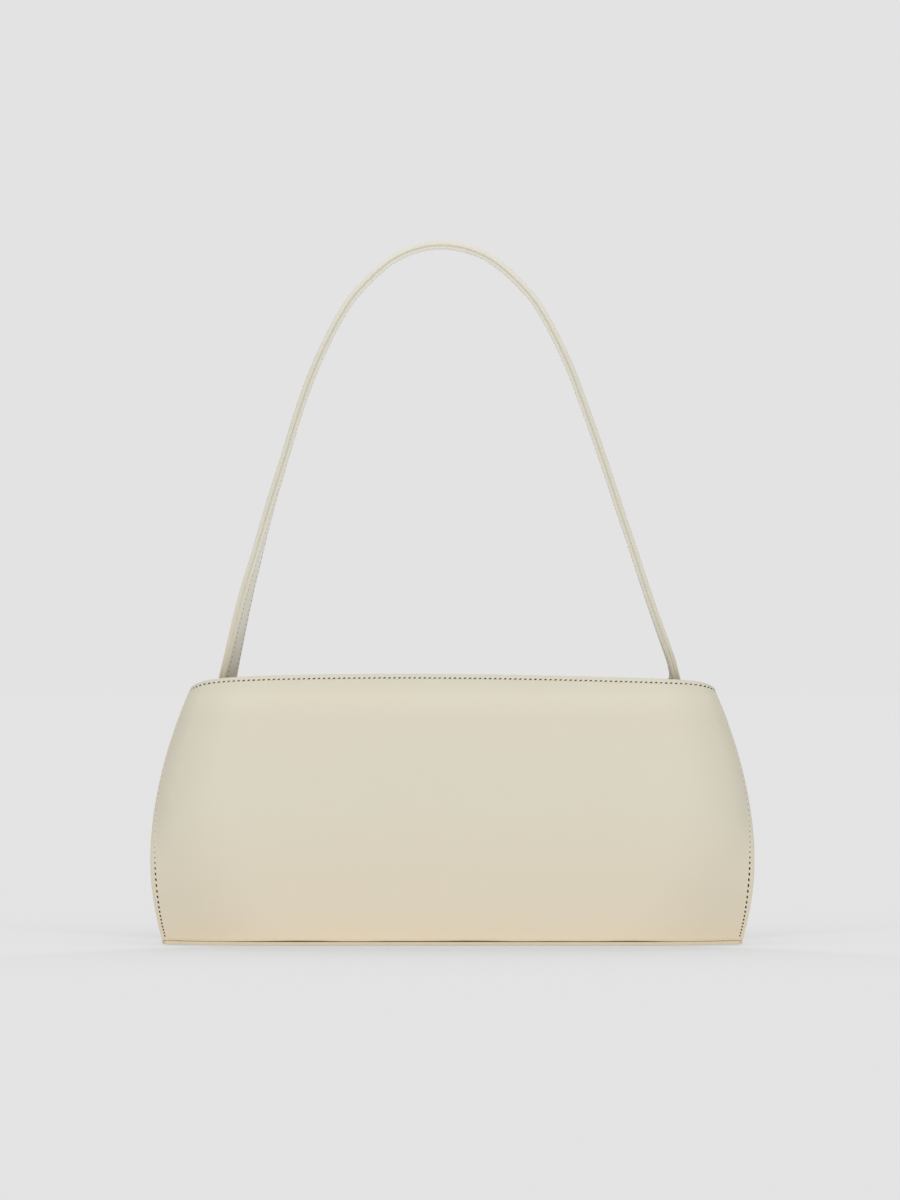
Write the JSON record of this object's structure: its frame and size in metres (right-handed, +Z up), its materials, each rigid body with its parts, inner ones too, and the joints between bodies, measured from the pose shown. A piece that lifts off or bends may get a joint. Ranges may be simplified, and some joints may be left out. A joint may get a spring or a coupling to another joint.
{
  "type": "shoulder bag",
  "caption": "Slim structured leather shoulder bag with an open mouth, rolled ends, a flat base, an inner magnetic tab and one narrow arched strap that swings front to back.",
  "frame": {"origin": "middle of the base, on the surface that the bag stands on", "axes": "+Z up towards the strap, +X along the bag to the right as seen from the front, the front faces -Y"},
  "size_m": [0.3406, 0.0854, 0.3986],
  "materials": {
    "panel_leather": "smooth satin, bone white",
    "base_leather": "smooth satin, bone white",
    "facing_leather": "smooth satin, bone white",
    "strap_leather": "smooth satin, bone white",
    "board": "matt fibre board",
    "tape": "matt tape",
    "lining": "fine twill",
    "magnet": "satin nickel",
    "thread": "waxed thread"
  },
  "bodies": {
    "body": {"front_panel": "panel_leather", "back_panel": "panel_leather", "left_gusset": "panel_leather", "right_gusset": "panel_leather", "base_panel": "base_leather", "base_board": "board", "front_lining": "lining", "back_lining": "lining", "left_gusset_lining": "lining", "right_gusset_lining": "lining", "base_lining": "lining", "front_facing": "facing_leather", "back_facing": "facing_leather", "slip_pocket": "facing_leather", "tab_anchor": "facing_leather", "facing_magnet": "magnet", "left_strap_end": "strap_leather", "right_strap_end": "strap_leather", "front_rim_stitching": "thread", "back_rim_stitching": "thread", "left_seam_stitching": "thread", "right_seam_stitching": "thread", "strap_end_stitching": "thread", "pocket_stitching": "thread"},
    "strap": {"strap_outer": "strap_leather", "strap_core": "tape", "strap_inner": "strap_leather", "strap_stitching": "thread"},
    "tab": {"closure_tab": "facing_leather", "tab_magnet": "magnet"}
  },
  "joints": [
    {"name": "strap_swing", "type": "hinge", "parent": "body", "child": "strap", "pos_m": [0, 0.007, 0.16], "axis": [1, 0, 0], "range_deg": [-90, 90]},
    {"name": "tab_lift", "type": "hinge", "parent": "body", "child": "tab", "pos_m": [0, 0.02068, 0.124], "axis": [-1, 0, 0], "range_deg": [0, 44]}
  ]
}
